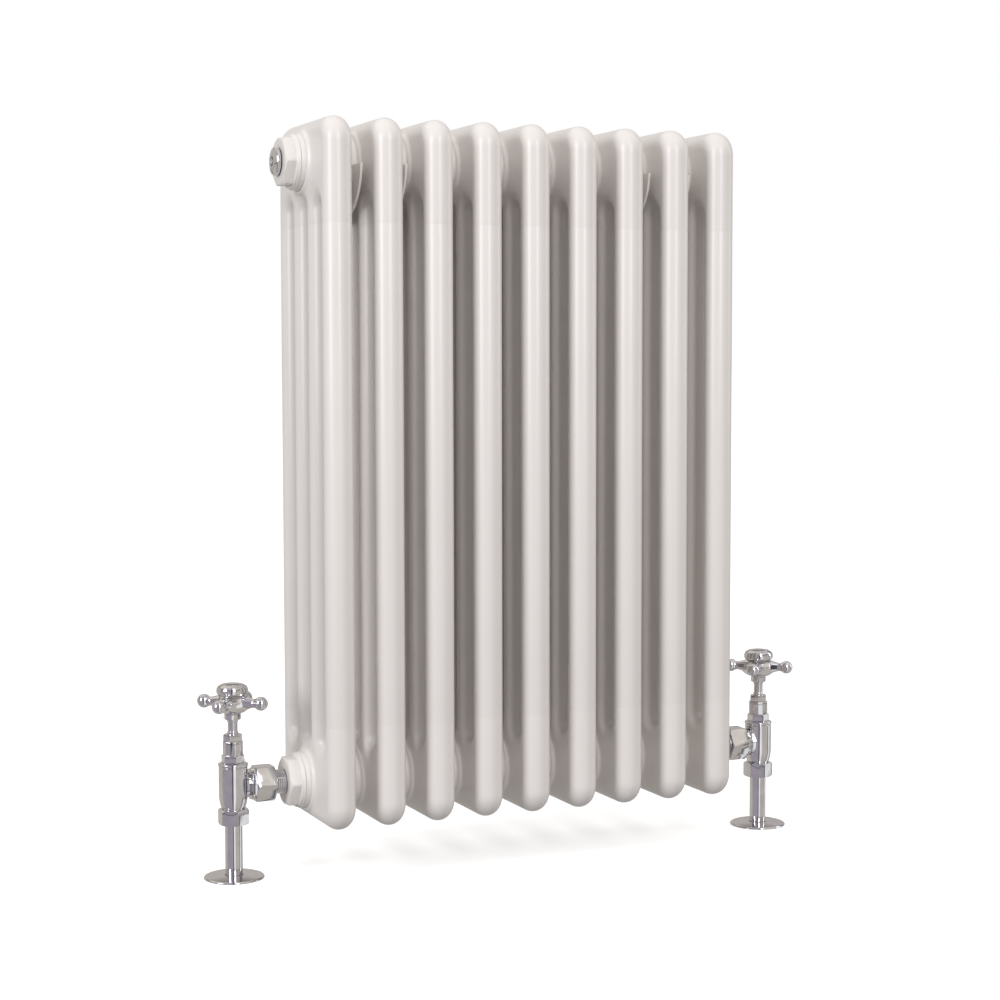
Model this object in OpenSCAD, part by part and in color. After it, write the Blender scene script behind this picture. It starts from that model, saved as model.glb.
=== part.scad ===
// Steel column radiator with two crosshead angle valves, wall brackets and floor pipes.
// Frame: X along the radiator, +Y towards the wall, +Z up. Origin on the floor, under the
// middle of the radiator, halfway between its front face and the wall. Millimetres.

/* [Radiator] */
// Distance between the middles of two neighbouring sections
section_pitch = 45; // [37:0.5:60]
// Height of one section, from its lowest to its highest point
section_h = 600; // [300:5:900]
// Distance between the middles of two neighbouring columns in a section
column_pitch = 38; // [31:0.5:50]
// Outer diameter of a column
column_d = 25; // [20:0.5:31]
// Wall of the columns and of the pressed heads
steel_wall = 1.5; // [1.2:0.1:2.2]
// Clear height under the sections
floor_gap = 45; // [30:1:100]
// Clear depth between the sections and the wall
wall_gap = 35; // [25:1:80]

/* [Pressed heads] */
// How far a head's flat sides lie inside the columns' sides
flat_step = 0.4; // [0.3:0.1:1]
// How much smaller the round of a slot's end is than the columns
saddle_step = 0.2; // [0.1:0.05:0.25]
// Corner radius of a head's middle line, seen from the side
corner_r = 8.5; // [5:0.5:11]
// Height of a head from its outer edge down to the end of the slots
head_h = 69; // [64:0.5:90]
// Distance of the tubes' weld seam from the section's outer edge
seam_drop = 88; // [80:1:110]
// Gap that stands for the weld between a tube and a head
weld_gap = 0.1; // [0.05:0.05:0.3]

/* [Hubs] */
// Distance of the hub axis from the top and from the bottom edge of a section
hub_inset = 35; // [33:0.5:42]
// Outer diameter of the bush thread
bush_thread_d = 41.6; // [34:0.1:50]
// Wall of the neck that joins two sections
neck_wall = 2.1; // [1.5:0.1:4]
// How much wider the hub flange is than the neck, each side
hub_flange_lip = 4; // [2:0.5:5]
// How far the hub flange stands out of the section's side
hub_flange_out = 2.5; // [1.5:0.5:4]
// Radial clearance of a screwed joint
thread_gap = 0.1; // [0.05:0.01:0.2]

/* [Bushes] */
// How much wider the bush flange is than its thread, each side
bush_flange_lip = 3.2; // [2.9:0.1:4]
// Thickness of the bush flange
bush_flange_t = 5; // [4:0.5:7]
// How much narrower the hexagon is across its flats than the bush thread
bush_hex_step = 0.6; // [0:0.1:6]
// Length of the hexagon
bush_hex_l = 12.5; // [9:0.5:16]
// Length of the bush thread inside the hub
bush_thread_l = 14; // [10:0.5:18]
// Width of the seal ring under the flange
seal_w = 1.8; // [1.4:0.1:2.2]
// Thickness of the seal ring
seal_t = 1.2; // [0.8:0.1:2]
// Outer diameter of the small thread for the valve tail, vent and plug
tap_thread_d = 20.9; // [17:0.1:26]

/* [Vent and plug] */
// How much wider the vent and plug heads are than their thread, each side
plug_head_lip = 1.55; // [1.2:0.05:4]
// How far the vent and the plug stand out of their bushes
plug_head_l = 6; // [5:0.5:9]
// Length of the small thread of the vent and the plug
plug_thread_l = 11; // [9:0.5:14]
// Section diameter of the seal behind the head
plug_seal_d = 1.8; // [1.4:0.1:2.2]
// Square drive of the bleed screw, across its flats
bleed_square = 5; // [4:0.5:5.5]
// Diameter of the bleed screw
bleed_screw_d = 8; // [7.2:0.2:9.6]
// Diameter of the water outlet in the vent face
bleed_outlet_d = 1.6; // [1.2:0.1:2]

/* [Brackets] */
// Sheet thickness of the brackets
sheet_t = 2; // [1.5:0.1:3]
// Clearance between a hub flange and the bracket's arm
arm_gap = 4; // [2:0.5:4.5]
// How much larger the round of the seat is than the neck
seat_play = 3; // [1:0.5:5]
// Width of the hook in front of the seat
hook_w = 22.5; // [16:0.5:28]
// How far the horn's top edge lies below the hub axis
horn_drop = 3; // [1:0.5:8]
// Height of the wall plate above the hub axis
plate_rise = 27; // [22:1:33]
// Distance between the two screw holes of a bracket
screw_spacing = 50; // [42:1:56]
// Diameter of a wall screw hole
screw_hole_d = 7; // [5:0.5:8.5]
// Height of the lower stay above the sections' lowest point
stay_z = 118; // [90:1:150]
// Height of the lower stay's wall plate
stay_plate_h = 72; // [68:1:100]
// Height of the lower stay's saddle
stay_h = 30; // [20:1:38]
// Thickness of the rubber between the stay and the column
stay_pad_t = 3; // [2:0.5:5]

/* [Valve] */
// Outer diameter of the supply pipe
pipe_d = 15; // [12:0.5:18]
// Wall of the supply pipe
pipe_wall = 0.8; // [0.6:0.1:1.2]
// Wall of the valve's threaded spigot around the pipe
spigot_wall = 2.2; // [1.8:0.1:3]
// Wall of the compression nut between its thread and its flats
comp_wall = 2; // [1.6:0.1:3]
// Length of the compression nut
comp_l = 13.2; // [11:0.2:16]
// Distance of the body's lower end below the side branch
body_drop = 20.2; // [17:0.2:26]
// Height of the body's top above the side branch
body_top = 19.2; // [16:0.2:24]
// Wall of the body around the bonnet's thread
body_wall = 4.1; // [3:0.1:6]
// How much wider the lip on the body's top is than the body, each side
body_lip = 0.5; // [0:0.1:1.5]
// Diameter of the opening in the valve seat
seat_d = 10; // [8:0.5:12]
// Inner diameter of the side branch
branch_bore_d = 13; // [10.5:0.5:15]
// Wall of the branch's neck
branch_wall = 3.8; // [2.5:0.1:4]
// Length of the branch's neck that shows between the body and the union nut
neck_show = 2.2; // [0:0.1:6]
// Length of the union nut
union_l = 20.5; // [17:0.5:26]
// Wall of the union nut between its thread and its flats
union_wall = 2.2; // [1.8:0.1:3.5]
// How much wider the tail's collar is than its thread, each side
tail_collar_lip = 1.75; // [1:0.05:3]
// Length of thread that shows between the union nut and the bush
tail_show = 10; // [4:0.5:16]

/* [Bonnet and handle] */
// Diameter of the spindle
spindle_d = 9.4; // [7.8:0.2:11.4]
// Height of the bonnet's hexagon
bonnet_hex_h = 7.3; // [6:0.1:10]
// Height of the twelve-sided barrel above the hexagon
barrel_h = 12.3; // [11.5:0.1:16]
// Height of the gland nut
gland_h = 5.5; // [4.5:0.1:8]
// Spindle length that shows above the gland nut when shut
spindle_show = 12.6; // [9:0.1:16]
// Radial clearance around the turning spindle
running_gap = 0.15; // [0.1:0.01:0.25]
// How far the valve disc lifts from shut to fully open
valve_lift = 6; // [5:0.1:6.6]
// How much wider the crosshead's collar is than the spindle, each side
collar_lip = 2.4; // [1.5:0.1:4]
// Height of the collar
collar_h = 6.5; // [5.2:0.1:8]
// Diameter of the crosshead's hub
hub_d = 27; // [22:0.5:33]
// Height of the crosshead from the collar's top to the dome's top
hub_h = 24.7; // [20:0.1:30]
// Distance of the four balls from the spindle axis
ball_reach = 26.5; // [22:0.1:34]
// Diameter of the balls
ball_d = 12; // [9.8:0.1:14]
// Diameter of the handle's arms at their neck
arm_d = 7.4; // [6:0.1:9]
// Angle of the handle's arms from the X axis
arm_turn = 49; // [0:1:90]

/* [Floor plates] */
// Diameter of a floor plate
floor_plate_d = 52; // [42:1:64]
// Height of a floor plate around its pipe
floor_plate_h = 3; // [2:0.1:6]
// Radial clearance of a floor plate around its pipe
floor_plate_gap = 0.4; // [0.3:0.05:0.8]

/* [Hidden] */
$fn = 48;
section_count = 9;
column_count = 4;
SIDES = ["left", "right"];
VALVE_NODES = [
    "valve_body", "union_nut", "tail", "compression_nut", "olive", "bonnet", "gland_nut",
    "gland_packing", "spindle", "crosshead", "handle_cap", "handle_screw", "jumper",
    "jumper_washer", "supply_pipe", "floor_plate"
];

// Slop joins solids of one piece, end_gap parts flat faces of pieces that move
slop = 0.01;
end_gap = 0.05;
bevel_slope = tan(30);
hex_bevel = 1.2;

// Radiator
column_r = column_d / 2;
depth = (column_count - 1) * column_pitch + column_d;
y_front = -(depth + wall_gap) / 2;
y_wall = -y_front;
y_axis = y_front + depth / 2;
y_columns = [for (i = [0:column_count - 1]) y_front + column_r + i * column_pitch];
z_low = floor_gap;
z_mid = z_low + section_h / 2;
z_tap = z_low + hub_inset;
z_tap_high = z_low + section_h - hub_inset;
slot_r = column_pitch / 2 - column_r;
saddle_rise = section_h / 2 - head_h - slot_r;
seam_rise = section_h / 2 - seam_drop;
hub_bore_r = bush_thread_d / 2 + thread_gap;
neck_r = hub_bore_r + neck_wall;
hub_flange_r = neck_r + hub_flange_lip;
hub_flange_reach = column_r + hub_flange_out;
function section_x(i) = (i - (section_count + 1) / 2) * section_pitch;

// Bushes, vent and plug. Heights along a bush run outwards from the hub face, and those of
// the vent and the plug from the bush's hexagon.
x_hub_end = section_x(section_count) + hub_flange_reach;
x_bush_end = x_hub_end + bush_flange_t + bush_hex_l;
bush_flange_r = bush_thread_d / 2 + bush_flange_lip;
bush_hex_af = bush_thread_d - bush_hex_step;
seal_play = 0.3;
seal_inner_r = bush_thread_d / 2 + seal_play;
tap_bore_r = tap_thread_d / 2 + thread_gap;
plug_head_r = tap_thread_d / 2 + plug_head_lip;
plug_dome_r = 40;
plug_seal_gap = 1;
seal_groove_lip = 0.6;
seal_groove_r = plug_head_r - seal_groove_lip;
vent_seat_z = -8;
vent_seat_d = 3;
vent_tip_l = 2.5;
bleed_shoulder_z = 1.5;
bleed_channel_z = 3;
bleed_outlet_inset = 3.4;
bleed_outlet_r = plug_head_r - bleed_outlet_inset;
plug_socket_af = 10;
plug_socket_depth = 5.5;

// Brackets and stay
arm_offset = hub_flange_reach + arm_gap + sheet_t / 2;
seat_r = neck_r + seat_play;
hook_r = seat_r + hook_w;
gusset_w = 14;
stay_mouth = 4;

// Bonnet, gland, jumper and spindle. Heights are above the side branch.
lift_thread_depth = 0.8;
bonnet_wall = 2.7;
bonnet_shoulder = 0.6;
packing_w = 1.7;
barrel_wall = 2.4;
gland_shoulder = 0.9;
lift_thread_d = spindle_d + 2 * lift_thread_depth;
bonnet_thread_d = lift_thread_d + 2 * bonnet_wall;
bonnet_thread_l = 8.2;
bonnet_af = bonnet_thread_d + 2 * bonnet_shoulder;
packing_r = spindle_d / 2 + packing_w;
packing_h = 4;
barrel_d = 2 * (packing_r + barrel_wall);
gland_af = 2 * (packing_r + gland_shoulder);
gland_thread_l = 3.5;
z_gland = body_top + bonnet_hex_h + barrel_h;
lift_thread_rise = 3;
lift_spare = 1;
z_lift_thread = body_top + lift_thread_rise;
lift_bore_h = lift_thread_rise + valve_lift + lift_spare;
chamber_step = 0.8;
chamber_d = bonnet_thread_d - chamber_step;
seat_clear = 0.5;
seat_drop = branch_bore_d / 2 + seat_clear;
seat_t = 4;
washer_t = 2.5;
jumper_t = 2.5;
jumper_play = 0.8;
washer_inset = 0.3;
jumper_d = chamber_d - 2 * jumper_play;
washer_r = jumper_d / 2 - washer_inset;
jumper_boss_d = 4.4;
jumper_stem_d = 5;
jumper_stem_l = 8;
jumper_top = end_gap + washer_t + jumper_t - seat_drop;

// Valve body and joints. Distances are from the upright axis.
body_d = bonnet_thread_d + 2 * body_wall;
body_taper_h = 12;
body_lip_h = 2;
branch_neck_d = branch_bore_d + 2 * branch_wall;
union_start = body_d / 2 + neck_show;
union_thread_l = 11;
union_bevel = 3;
union_bore_r = tap_thread_d / 2 + tail_collar_lip;
union_af = 2 * (union_bore_r + union_wall);
tail_collar_l = 5;
tail_hole_r = tap_thread_d / 2 + running_gap;
tail_depth = 13;
valve_reach = union_start + union_l + tail_show;
x_valve = x_bush_end + valve_reach;
pipe_socket_r = pipe_d / 2 + thread_gap;
comp_thread_r = pipe_socket_r + spigot_wall;
comp_af = 2 * (comp_thread_r + comp_wall);
comp_floor_t = 3.2;
olive_l = 3.4;
olive_bevel = 0.8;

// Handle
z_collar = z_gland + gland_h + spindle_show;
z_square = z_collar + 5;
hub_flat_step = 2.4;
hub_blank_lip = 1.2;
hub_top_bevel = 3.4;
hub_low_bevel = 2.6;
square_af = spindle_d - 3;
cap_h = 8.1;
z_cap = z_collar + collar_h + hub_h - cap_h;
cap_recess = 4;
z_screw_head = z_cap - cap_recess;
handle_floor_t = 2;
square_h = z_screw_head - handle_floor_t - z_square;
ball_rise = 8.2;
cap_spigot_inset = 5;
cap_spigot_r = hub_d / 2 - cap_spigot_inset;
cap_spigot_t = 1.5;
cap_spigot_l = 3;
cap_dome_step = 1.8;
cap_dome_r = hub_d / 2 + cap_dome_step;
cap_groove_z = 2.2;
cap_groove_w = 0.8;
cap_groove_t = 1.1;
cap_groove_r = hub_d / 2 - cap_groove_t;
handle_screw_d = 4;
screw_l = 10;
screw_head_d = 7.5;
screw_head_h = 2.4;
screw_slot_w = 1.2;

// Floor plates
floor_rim_h = 1.2;
floor_rim_step = 1;
floor_top_w = 1.5;

// One column section, welded from two pressed heads and four tubes. A head is drawn for the
// upper end, and its own form, smaller by the wall, is the water space inside it.
module saddle_cutter(inset) {
    round_r = column_r - saddle_step - inset;
    rotate([0, 90, 0])
        rotate_extrude()
            difference() {
                translate([0, -column_r])
                    square([column_pitch / 2, column_d]);
                translate([column_pitch / 2, 0])
                    circle(round_r);
            }
}

module head_web(inset) {
    flat = column_d - 2 * (flat_step + inset);
    span = y_columns[column_count - 1] - y_columns[0];
    rise = section_h / 2 - column_r - saddle_rise;
    difference() {
        translate([-flat / 2, y_columns[0], saddle_rise])
            cube([flat, span, rise]);
        for (i = [0:column_count - 2])
            translate([0, (y_columns[i] + y_columns[i + 1]) / 2, saddle_rise])
                saddle_cutter(inset);
        for (flip = [0, 1])
            translate([0, y_axis, 0])
                mirror([0, flip, 0])
                    translate([-column_r, span / 2 - corner_r, section_h / 2 - column_r - corner_r])
                        difference() {
                            cube([column_d, corner_r + 1, corner_r + 1]);
                            translate([-1, 0, 0])
                                rotate([0, 90, 0])
                                    cylinder(r = corner_r, h = column_d + 2);
                        }
    }
}

module head_rim(inset) {
    rim_r = column_r - inset;
    span = y_columns[column_count - 1] - y_columns[0] - 2 * corner_r;
    z_rim = section_h / 2 - column_r;
    translate([0, y_axis - span / 2, z_rim])
        rotate([-90, 0, 0])
            cylinder(r = rim_r, h = span);
    for (flip = [0, 1])
        translate([0, y_axis, z_rim - corner_r])
            mirror([0, flip, 0])
                translate([0, span / 2, 0])
                    rotate([90, 0, 90])
                        rotate_extrude(angle = 90)
                            intersection() {
                                translate([corner_r, 0])
                                    circle(rim_r);
                                translate([0, -rim_r])
                                    square([corner_r + rim_r, 2 * rim_r]);
                            }
}

module head_form(inset, foot) {
    head_web(inset);
    head_rim(inset);
    for (i = [0:column_count - 1]) {
        outer = i == 0 || i == column_count - 1;
        z_top = outer ? section_h / 2 - column_r - corner_r : saddle_rise + 1;
        translate([0, y_columns[i], foot])
            cylinder(r = column_r - inset, h = z_top - foot);
    }
}

module head() {
    difference() {
        union() {
            head_form(0, seam_rise + weld_gap / 2);
            translate([-hub_flange_reach, y_axis, z_tap_high - z_mid])
                rotate([0, 90, 0])
                    cylinder(r = hub_flange_r, h = 2 * hub_flange_reach);
        }
        head_form(steel_wall, seam_rise - 1);
        translate([-section_pitch, y_axis, z_tap_high - z_mid])
            rotate([0, 90, 0])
                cylinder(r = hub_bore_r, h = 2 * section_pitch);
    }
}

module section(i) {
    tube_h = 2 * seam_rise - weld_gap;
    color("white")
        translate([section_x(i), 0, z_mid]) {
            for (flip = [0, 1])
                mirror([0, 0, flip])
                    head();
            for (y = y_columns)
                translate([0, y, -tube_h / 2])
                    ring(column_r - steel_wall, column_r, tube_h);
        }
}

// Rings that join each section's hubs to the next section's
module necks(z) {
    color("white")
        for (i = [1:section_count - 1])
            translate([section_x(i) + hub_flange_reach, y_axis, z])
                rotate([0, 90, 0])
                    ring(hub_bore_r, neck_r, section_pitch - 2 * hub_flange_reach);
}

// Shapes that several pieces share. Each runs up +Z from its own z = 0. A milled piece is a
// turned blank, bevelled at 30 degrees at its ends, with flats cut around it.
module milled(sides, af, blank_r, h, top_bevel, bottom_bevel) {
    intersection() {
        cylinder(r = af / 2 / cos(180 / sides), h = h, $fn = sides);
        rotate_extrude()
            polygon(concat(
                [[0, 0], [blank_r - bottom_bevel, 0]],
                bottom_bevel > 0 ? [[blank_r, bottom_bevel * bevel_slope]] : [],
                top_bevel > 0 ? [[blank_r, h - top_bevel * bevel_slope]] : [],
                [[blank_r - top_bevel, h], [0, h]]
            ));
    }
}

module hexagon(af, h, top_bevel, bottom_bevel) {
    milled(6, af, af / sqrt(3) + slop, h, top_bevel, bottom_bevel);
}

module ring(inner_r, outer_r, h) {
    difference() {
        cylinder(r = outer_r, h = h);
        translate([0, 0, -1])
            cylinder(r = inner_r, h = h + 2);
    }
}

// Places. A tapping's +Z runs outwards from the hub face, and its +X points down. A valve's
// origin is where its upright axis meets the side branch, and its +X points at the radiator.
module at_tapping(side, z) {
    translate([0, y_axis, z])
        rotate([0, 0, side == "left" ? 180 : 0])
            translate([x_hub_end, 0, 0])
                rotate([0, 90, 0])
                    children();
}

module at_bush_face(side, z) {
    at_tapping(side, z)
        translate([0, 0, bush_flange_t + bush_hex_l])
            children();
}

module at_valve(side) {
    translate([side == "left" ? -x_valve : x_valve, y_axis, z_tap])
        rotate([0, 0, side == "left" ? 0 : 180])
            children();
}

module along_branch(distance) {
    translate([distance, 0, 0])
        rotate([0, 90, 0])
            children();
}

// Bushes that close the four hubs down to the small thread
module bush(side, z) {
    color("whitesmoke")
        at_tapping(side, z)
            difference() {
                union() {
                    translate([0, 0, -bush_thread_l])
                        cylinder(d = bush_thread_d, h = bush_thread_l + slop);
                    cylinder(r = bush_flange_r, h = bush_flange_t);
                    translate([0, 0, bush_flange_t - slop])
                        rotate([0, 0, 30])
                            hexagon(bush_hex_af, bush_hex_l + slop, hex_bevel, 0);
                }
                translate([0, 0, -bush_thread_l - 1])
                    cylinder(r = tap_bore_r, h = bush_thread_l + bush_flange_t + bush_hex_l + 2);
                translate([0, 0, -slop])
                    ring(seal_inner_r - slop, seal_inner_r + seal_w + slop, seal_t + slop);
            }
}

module bush_seals() {
    color("dimgray")
        for (side = SIDES, z = [z_tap, z_tap_high])
            at_tapping(side, z)
                ring(seal_inner_r, seal_inner_r + seal_w, seal_t);
}

// Manual air vent in the upper left bush, and the plug in the upper right one
module plug_head() {
    difference() {
        union() {
            translate([0, 0, -plug_thread_l])
                cylinder(d = tap_thread_d, h = plug_thread_l + plug_seal_gap + slop);
            intersection() {
                translate([0, 0, plug_seal_gap])
                    cylinder(r = plug_head_r, h = plug_head_l);
                translate([0, 0, plug_head_l - plug_dome_r])
                    sphere(r = plug_dome_r, $fn = 96);
            }
        }
        ring(seal_groove_r - plug_seal_d, seal_groove_r, plug_seal_d);
    }
}

module plug_seal(side) {
    color("black")
        at_bush_face(side, z_tap_high)
            translate([0, 0, plug_seal_d / 2])
                rotate_extrude()
                    translate([seal_groove_r - plug_seal_d / 2, 0])
                        circle(d = plug_seal_d);
}

module vent_body() {
    bore_r = bleed_screw_d / 2 + running_gap;
    color("silver")
        at_bush_face("left", z_tap_high)
            difference() {
                plug_head();
                translate([0, 0, vent_seat_z])
                    cylinder(r = bore_r, h = plug_head_l - vent_seat_z + 1);
                translate([0, 0, -plug_thread_l - 1])
                    cylinder(d = vent_seat_d, h = plug_thread_l + vent_seat_z + 2);
                translate([bleed_outlet_r, 0, bleed_channel_z])
                    cylinder(d = bleed_outlet_d, h = plug_head_l);
                translate([0, 0, bleed_channel_z])
                    rotate([0, 90, 0])
                        cylinder(d = bleed_outlet_d, h = bleed_outlet_r);
            }
}

module vent_tip() {
    color("ivory")
        at_bush_face("left", z_tap_high)
            translate([0, 0, vent_seat_z + end_gap])
                cylinder(d = bleed_screw_d - 1, h = vent_tip_l);
}

module vent_screw() {
    z_start = vent_seat_z + vent_tip_l + 2 * end_gap;
    color("silver")
        at_bush_face("left", z_tap_high)
            union() {
                translate([0, 0, z_start])
                    cylinder(d = bleed_screw_d, h = bleed_shoulder_z - z_start);
                translate([-bleed_square / 2, -bleed_square / 2, bleed_shoulder_z - slop])
                    cube([bleed_square, bleed_square, plug_head_l - bleed_shoulder_z]);
            }
}

module blanking_plug() {
    color("silver")
        at_bush_face("right", z_tap_high)
            difference() {
                plug_head();
                translate([0, 0, plug_head_l - plug_socket_depth])
                    cylinder(r = plug_socket_af / sqrt(3), h = plug_socket_depth + 1, $fn = 6);
            }
}

// Sheet-steel hooks under the necks beside the second and the last but one section
module bracket_arm() {
    wall_reach = y_wall - y_axis;
    seat_z = seat_r - neck_r;
    rotate([90, 0, 90])
        linear_extrude(height = sheet_t, center = true)
            difference() {
                union() {
                    intersection() {
                        circle(r = hook_r);
                        translate([-hook_r - 1, -hook_r - 1])
                            square([2 * hook_r + 2, hook_r + 1 - horn_drop]);
                    }
                    translate([0, -hook_r])
                        square([wall_reach - slop, hook_r - horn_drop]);
                    polygon([
                        [hook_r, -horn_drop - slop],
                        [wall_reach - slop, -horn_drop - slop],
                        [wall_reach - slop, plate_rise],
                        [wall_reach - gusset_w, plate_rise]
                    ]);
                }
                translate([0, seat_z])
                    circle(r = seat_r);
            }
}

module bracket(side) {
    x_middle = (side == "left" ? -1 : 1) * section_x(section_count - 1);
    plate_h = plate_rise + hook_r;
    color("white")
        translate([x_middle, y_axis, z_tap_high])
            difference() {
                union() {
                    for (x = [-arm_offset, arm_offset])
                        translate([x, 0, 0])
                            bracket_arm();
                    translate([-arm_offset, y_wall - y_axis - sheet_t, -hook_r])
                        cube([2 * arm_offset, sheet_t, plate_h]);
                }
                for (rise = [-screw_spacing / 2, screw_spacing / 2])
                    translate([0, y_wall - y_axis + 1, plate_h / 2 - hook_r + rise])
                        rotate([90, 0, 0])
                            cylinder(d = screw_hole_d, h = sheet_t + 2);
            }
}

// Stay that keeps the lower end of the middle section off the wall
module stay_sector(inner_r, outer_r) {
    difference() {
        ring(inner_r, outer_r, stay_h);
        translate([-outer_r - 1, -outer_r - 1, -1])
            cube([2 * outer_r + 2, outer_r + 1 + stay_mouth, stay_h + 2]);
    }
}

module lower_stay() {
    saddle_r = column_r + stay_pad_t;
    cheek_x = saddle_r + sheet_t;
    y_column = y_columns[column_count - 1];
    color("white")
        translate([0, y_column, z_low + stay_z])
            difference() {
                union() {
                    stay_sector(saddle_r, cheek_x);
                    for (x = [-cheek_x, saddle_r])
                        translate([x, stay_mouth, 0])
                            cube([sheet_t, y_wall - y_column - stay_mouth, stay_h]);
                    translate([-cheek_x, y_wall - y_column - sheet_t, (stay_h - stay_plate_h) / 2])
                        cube([2 * cheek_x, sheet_t, stay_plate_h]);
                }
                for (rise = [-screw_spacing / 2, screw_spacing / 2])
                    translate([0, y_wall - y_column + 1, stay_h / 2 + rise])
                        rotate([90, 0, 0])
                            cylinder(d = screw_hole_d, h = sheet_t + 2);
            }
}

module stay_pad() {
    color("dimgray")
        translate([0, y_columns[column_count - 1], z_low + stay_z])
            stay_sector(column_r, column_r + stay_pad_t);
}

// Valve bodies and the pieces that join them to the radiator and to the pipes
module valve_body(side) {
    spigot_l = comp_l - comp_floor_t - olive_l;
    color("silver")
        at_valve(side)
            difference() {
                union() {
                    translate([0, 0, -body_drop - spigot_l])
                        cylinder(r = comp_thread_r, h = spigot_l + slop);
                    translate([0, 0, -body_drop])
                        cylinder(r1 = comp_thread_r, r2 = body_d / 2, h = body_taper_h);
                    translate([0, 0, body_taper_h - body_drop - slop])
                        cylinder(d = body_d, h = body_top + body_drop - body_taper_h + slop);
                    translate([0, 0, body_top - body_lip_h])
                        cylinder(r = body_d / 2 + body_lip, h = body_lip_h);
                    along_branch(0)
                        cylinder(d = branch_neck_d, h = union_start + slop);
                    along_branch(union_start)
                        cylinder(r = union_bore_r - thread_gap, h = union_thread_l);
                }
                translate([0, 0, -body_drop - spigot_l - 1])
                    cylinder(r = pipe_socket_r, h = body_drop + spigot_l + 1 - seat_drop - seat_t);
                translate([0, 0, -seat_drop - seat_t - 1])
                    cylinder(d = seat_d, h = seat_t + 2);
                translate([0, 0, -seat_drop])
                    cylinder(d = chamber_d, h = seat_drop + body_top + 1);
                translate([0, 0, body_top - bonnet_thread_l])
                    cylinder(r = bonnet_thread_d / 2 + thread_gap, h = bonnet_thread_l + 1);
                along_branch(0)
                    cylinder(d = branch_bore_d, h = union_start + union_thread_l + 1);
            }
}

module union_nut(side) {
    color("silver")
        at_valve(side)
            along_branch(union_start)
                difference() {
                    rotate([0, 0, 30])
                        hexagon(union_af, union_l, hex_bevel, union_bevel);
                    translate([0, 0, -1])
                        cylinder(r = union_bore_r, h = union_thread_l + tail_collar_l + 1);
                    cylinder(r = tail_hole_r, h = union_l + 1);
                }
}

module tail(side) {
    start = union_start + union_thread_l;
    color("silver")
        at_valve(side)
            along_branch(start)
                difference() {
                    union() {
                        cylinder(r = union_bore_r - thread_gap, h = tail_collar_l);
                        cylinder(d = tap_thread_d, h = valve_reach + tail_depth - start);
                    }
                    translate([0, 0, -1])
                        cylinder(d = branch_bore_d, h = valve_reach + tail_depth);
                }
}

module compression_nut(side) {
    color("silver")
        at_valve(side)
            translate([0, 0, -body_drop - comp_l])
                difference() {
                    rotate([0, 0, 30])
                        hexagon(comp_af, comp_l, hex_bevel, hex_bevel);
                    translate([0, 0, comp_floor_t])
                        cylinder(r = comp_thread_r + thread_gap, h = comp_l);
                    translate([0, 0, -1])
                        cylinder(r = pipe_socket_r, h = comp_l);
                }
}

module olive(side) {
    inner_r = pipe_d / 2;
    outer_r = comp_thread_r - olive_bevel / 2;
    color("goldenrod")
        at_valve(side)
            translate([0, 0, comp_floor_t - body_drop - comp_l])
                rotate_extrude()
                    polygon([
                        [inner_r, 0],
                        [outer_r - olive_bevel, 0],
                        [outer_r, olive_bevel],
                        [outer_r, olive_l - olive_bevel],
                        [outer_r - olive_bevel, olive_l],
                        [inner_r, olive_l]
                    ]);
}

module supply_pipe(side) {
    color("silver")
        at_valve(side)
            translate([0, 0, -z_tap])
                ring(pipe_d / 2 - pipe_wall, pipe_d / 2, z_tap - seat_drop - seat_t - end_gap);
}

module floor_plate(side) {
    hole_r = pipe_d / 2 + floor_plate_gap;
    dome_r = floor_plate_d / 2 - floor_rim_step;
    dome_h = floor_plate_h - floor_rim_h;
    color("silver")
        at_valve(side)
            translate([0, 0, -z_tap])
                difference() {
                    union() {
                        cylinder(d = floor_plate_d, h = floor_rim_h);
                        translate([0, 0, floor_rim_h])
                            cylinder(r1 = dome_r, r2 = hole_r + floor_top_w, h = dome_h);
                    }
                    translate([0, 0, -1])
                        cylinder(r = hole_r, h = floor_plate_h + 2);
                }
}

// Bonnet, gland and what turns and lifts inside them
module bonnet(side) {
    lift_bore_r = lift_thread_d / 2 + running_gap;
    color("silver")
        at_valve(side)
            translate([0, 0, body_top])
                difference() {
                    union() {
                        translate([0, 0, -bonnet_thread_l])
                            cylinder(d = bonnet_thread_d, h = bonnet_thread_l + slop);
                        rotate([0, 0, 30])
                            hexagon(bonnet_af, bonnet_hex_h + slop, hex_bevel, 0);
                        translate([0, 0, bonnet_hex_h])
                            cylinder(d = barrel_d, h = barrel_h, $fn = 12);
                    }
                    translate([0, 0, -bonnet_thread_l - 1])
                        cylinder(r = lift_bore_r, h = bonnet_thread_l + 1 + lift_bore_h);
                    cylinder(r = spindle_d / 2 + running_gap, h = bonnet_hex_h + barrel_h + 1);
                    translate([0, 0, bonnet_hex_h + barrel_h - gland_thread_l - packing_h])
                        cylinder(r = packing_r, h = gland_thread_l + packing_h + 1);
                }
}

module gland_nut(side) {
    color("silver")
        at_valve(side)
            translate([0, 0, z_gland])
                difference() {
                    union() {
                        translate([0, 0, -gland_thread_l])
                            cylinder(r = packing_r - thread_gap, h = gland_thread_l + slop);
                        rotate([0, 0, 30])
                            hexagon(gland_af, gland_h, hex_bevel, 0);
                    }
                    translate([0, 0, -gland_thread_l - 1])
                        cylinder(r = spindle_d / 2 + running_gap, h = gland_thread_l + gland_h + 2);
                }
}

module gland_packing(side) {
    color("ivory")
        at_valve(side)
            translate([0, 0, z_gland - gland_thread_l - packing_h])
                ring(spindle_d / 2 + running_gap, packing_r, packing_h);
}

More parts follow.
